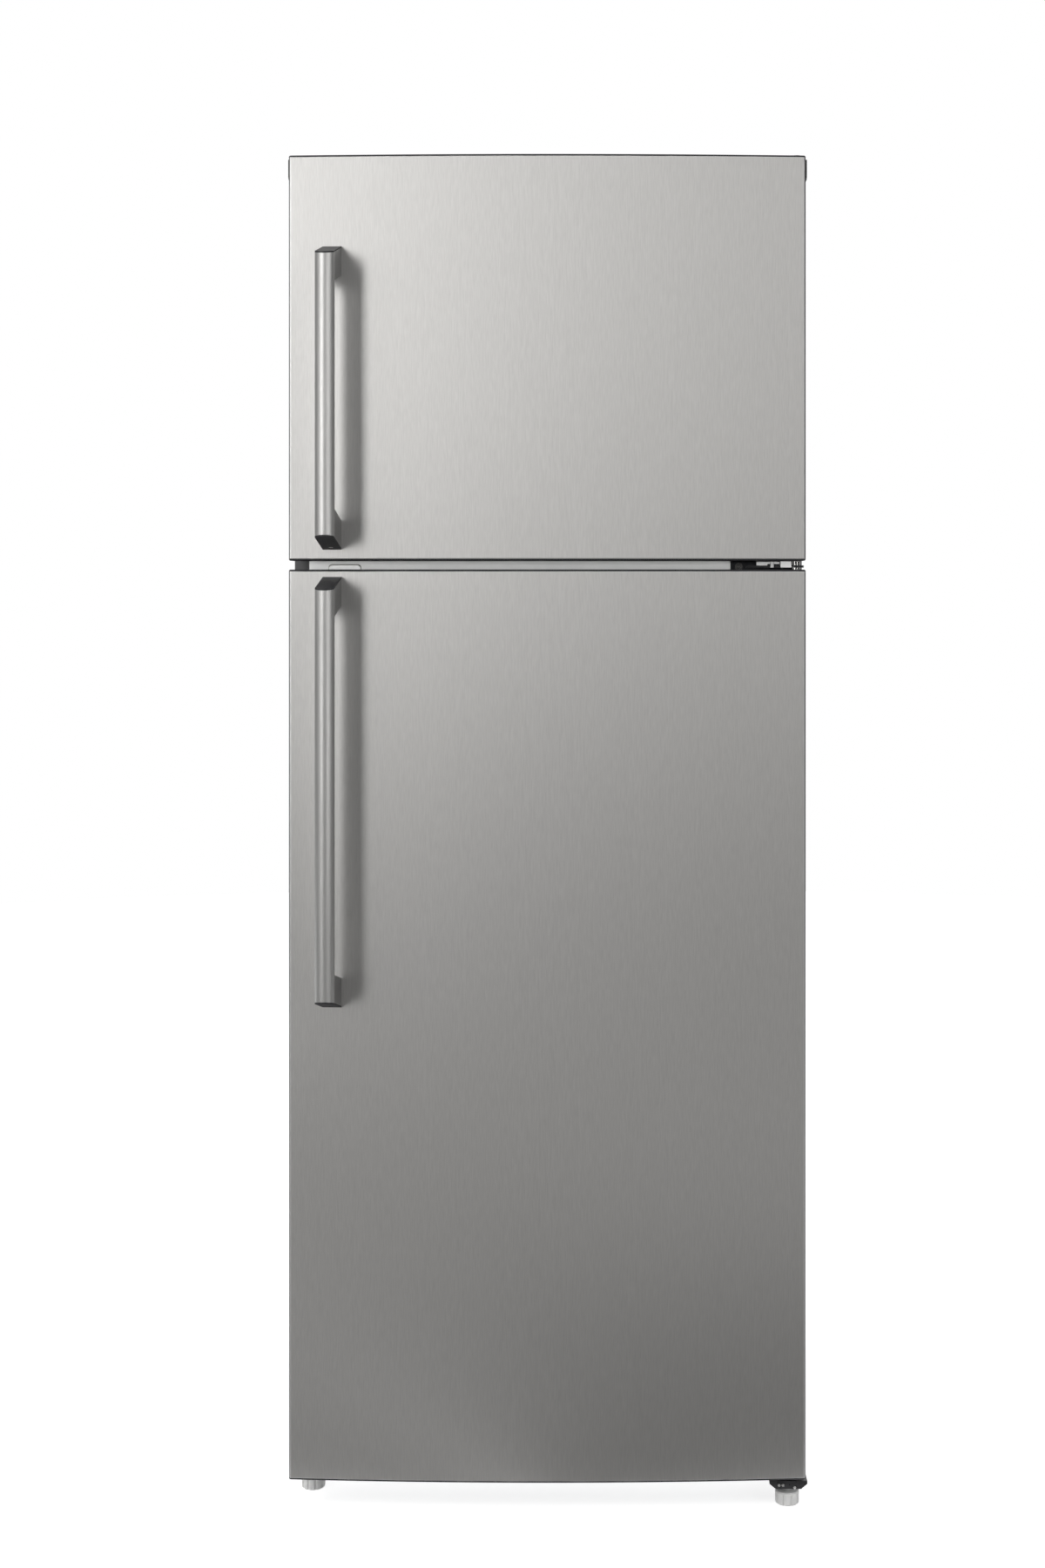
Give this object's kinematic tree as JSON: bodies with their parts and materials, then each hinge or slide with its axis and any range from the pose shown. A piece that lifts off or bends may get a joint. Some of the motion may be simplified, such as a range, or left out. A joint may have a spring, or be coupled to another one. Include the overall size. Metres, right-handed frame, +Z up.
{
  "type": "refrigerator",
  "caption": "Top-freezer refrigerator with bowed brushed-steel doors hinged on the right, crowned bar handles, levelling feet, rear rollers and a fitted interior.",
  "frame": {"origin": "middle of the floor under the fridge's bounding box", "axes": "+Z up, the doors face -Y, +X is on the right of someone facing the doors, where the hinges are"},
  "size_m": [0.7066, 0.7254, 1.8468],
  "materials": {
    "door_steel": "vertical brushed grain, satin",
    "handle_steel": "fine brushed along its length",
    "dark_plastic": "matt, fine grain",
    "case_paint": "satin grey paint",
    "back_zinc": "zinc-coated sheet",
    "black_paint": "black paint, satin",
    "bright_steel": "bright plated",
    "white_moulding": "smooth moulding, soft gloss",
    "white_nylon": "plain moulded nylon",
    "grey_plastic": "plain moulding",
    "foam": "rigid foam",
    "clear_plastic": "clear moulding",
    "shelf_glass": "clear float glass",
    "seal_rubber": "soft grey seal",
    "fin_aluminium": "bare fins",
    "motor_zinc": "zinc-coated housing"
  },
  "bodies": {
    "cabinet": {"outer_case": "case_paint", "back_panel": "back_zinc", "base_plate": "case_paint", "insulation_foam": "foam", "freezer_liner": "white_moulding", "fridge_liner": "white_moulding", "mullion_plate": "case_paint", "mullion_plug": "dark_plastic", "top_hinge_bracket": "black_paint", "middle_hinge_bracket": "black_paint", "bottom_hinge_bracket": "black_paint", "hinge_pins": "bright_steel", "hinge_screws": "bright_steel", "door_stop": "white_nylon", "top_hinge_cover": "dark_plastic", "roller_axles": "bright_steel", "compressor": "black_paint", "drip_tray": "grey_plastic", "machine_cover": "back_zinc", "cord_gland": "seal_rubber", "evaporator": "fin_aluminium", "freezer_duct_cover": "white_moulding", "fan_motor": "motor_zinc", "fridge_air_duct": "white_moulding", "control_box": "white_moulding", "lamp_lens": "clear_plastic", "shelf_glass": "shelf_glass", "shelf_trims": "white_moulding"},
    "upper_door": {"upper_door_skin": "door_steel", "upper_door_top_cap": "dark_plastic", "upper_door_bottom_cap": "dark_plastic", "upper_door_foam": "foam", "upper_door_liner": "white_moulding", "upper_door_gasket": "seal_rubber", "upper_door_racks": "clear_plastic", "upper_door_hinge_bushes": "white_nylon", "upper_handle_bar": "handle_steel", "upper_handle_posts": "handle_steel", "upper_handle_caps": "dark_plastic", "upper_handle_screw": "bright_steel"},
    "lower_door": {"lower_door_skin": "door_steel", "lower_door_top_cap": "dark_plastic", "lower_door_bottom_cap": "dark_plastic", "lower_door_foam": "foam", "lower_door_liner": "white_moulding", "lower_door_gasket": "seal_rubber", "lower_door_racks": "clear_plastic", "lower_door_hinge_bushes": "white_nylon", "lower_handle_bar": "handle_steel", "lower_handle_posts": "handle_steel", "lower_handle_caps": "dark_plastic", "lower_handle_screw": "bright_steel"},
    "foot_left": {"front_foot_left": "white_nylon"},
    "foot_right": {"front_foot_right": "white_nylon"},
    "roller_left": {"rear_roller_left": "grey_plastic"},
    "roller_right": {"rear_roller_right": "grey_plastic"},
    "fan": {"evaporator_fan": "grey_plastic"},
    "knob": {"control_knob": "grey_plastic"},
    "crisper": {"crisper_drawer": "clear_plastic"},
    "switch": {"lamp_switch": "white_nylon"}
  },
  "joints": [
    {"name": "upper_door_swing", "type": "hinge", "parent": "cabinet", "child": "upper_door", "pos_m": [0.339, -0.26425, 0], "axis": [0, 0, 1], "range_deg": [0, 130]},
    {"name": "lower_door_swing", "type": "hinge", "parent": "cabinet", "child": "lower_door", "pos_m": [0.339, -0.26425, 0], "axis": [0, 0, 1], "range_deg": [0, 130]},
    {"name": "foot_left_turn", "type": "hinge", "parent": "cabinet", "child": "foot_left", "pos_m": [-0.327, -0.21025, 0], "axis": [0, 0, 1], "range_deg": [-360, 360]},
    {"name": "foot_right_turn", "type": "hinge", "parent": "cabinet", "child": "foot_right", "pos_m": [0.327, -0.26425, 0], "axis": [0, 0, 1], "range_deg": [-360, 360]},
    {"name": "roller_left_spin", "type": "hinge", "parent": "cabinet", "child": "roller_left", "pos_m": [-0.295, 0.30275, 0.018], "axis": [1, 0, 0], "continuous": true},
    {"name": "roller_right_spin", "type": "hinge", "parent": "cabinet", "child": "roller_right", "pos_m": [0.295, 0.30275, 0.018], "axis": [1, 0, 0], "continuous": true},
    {"name": "fan_spin", "type": "hinge", "parent": "cabinet", "child": "fan", "pos_m": [0, 0.22495, 1.6535], "axis": [0, -1, 0], "continuous": true},
    {"name": "knob_turn", "type": "hinge", "parent": "cabinet", "child": "knob", "pos_m": [0.055, -0.22725, 1.2245], "axis": [0, -1, 0], "range_deg": [-135, 135]},
    {"name": "crisper_slide", "type": "slide", "parent": "cabinet", "child": "crisper", "axis": [0, -1, 0], "range_m": [0, 0.04]},
    {"name": "switch_slide", "type": "slide", "parent": "cabinet", "child": "switch", "axis": [0, -1, 0], "range_m": [0, 0.006]}
  ],
  "couplings": [
    {"joint": "switch_slide", "follows": "lower_door_swing", "m_per_rad": 0.0026444}
  ]
}
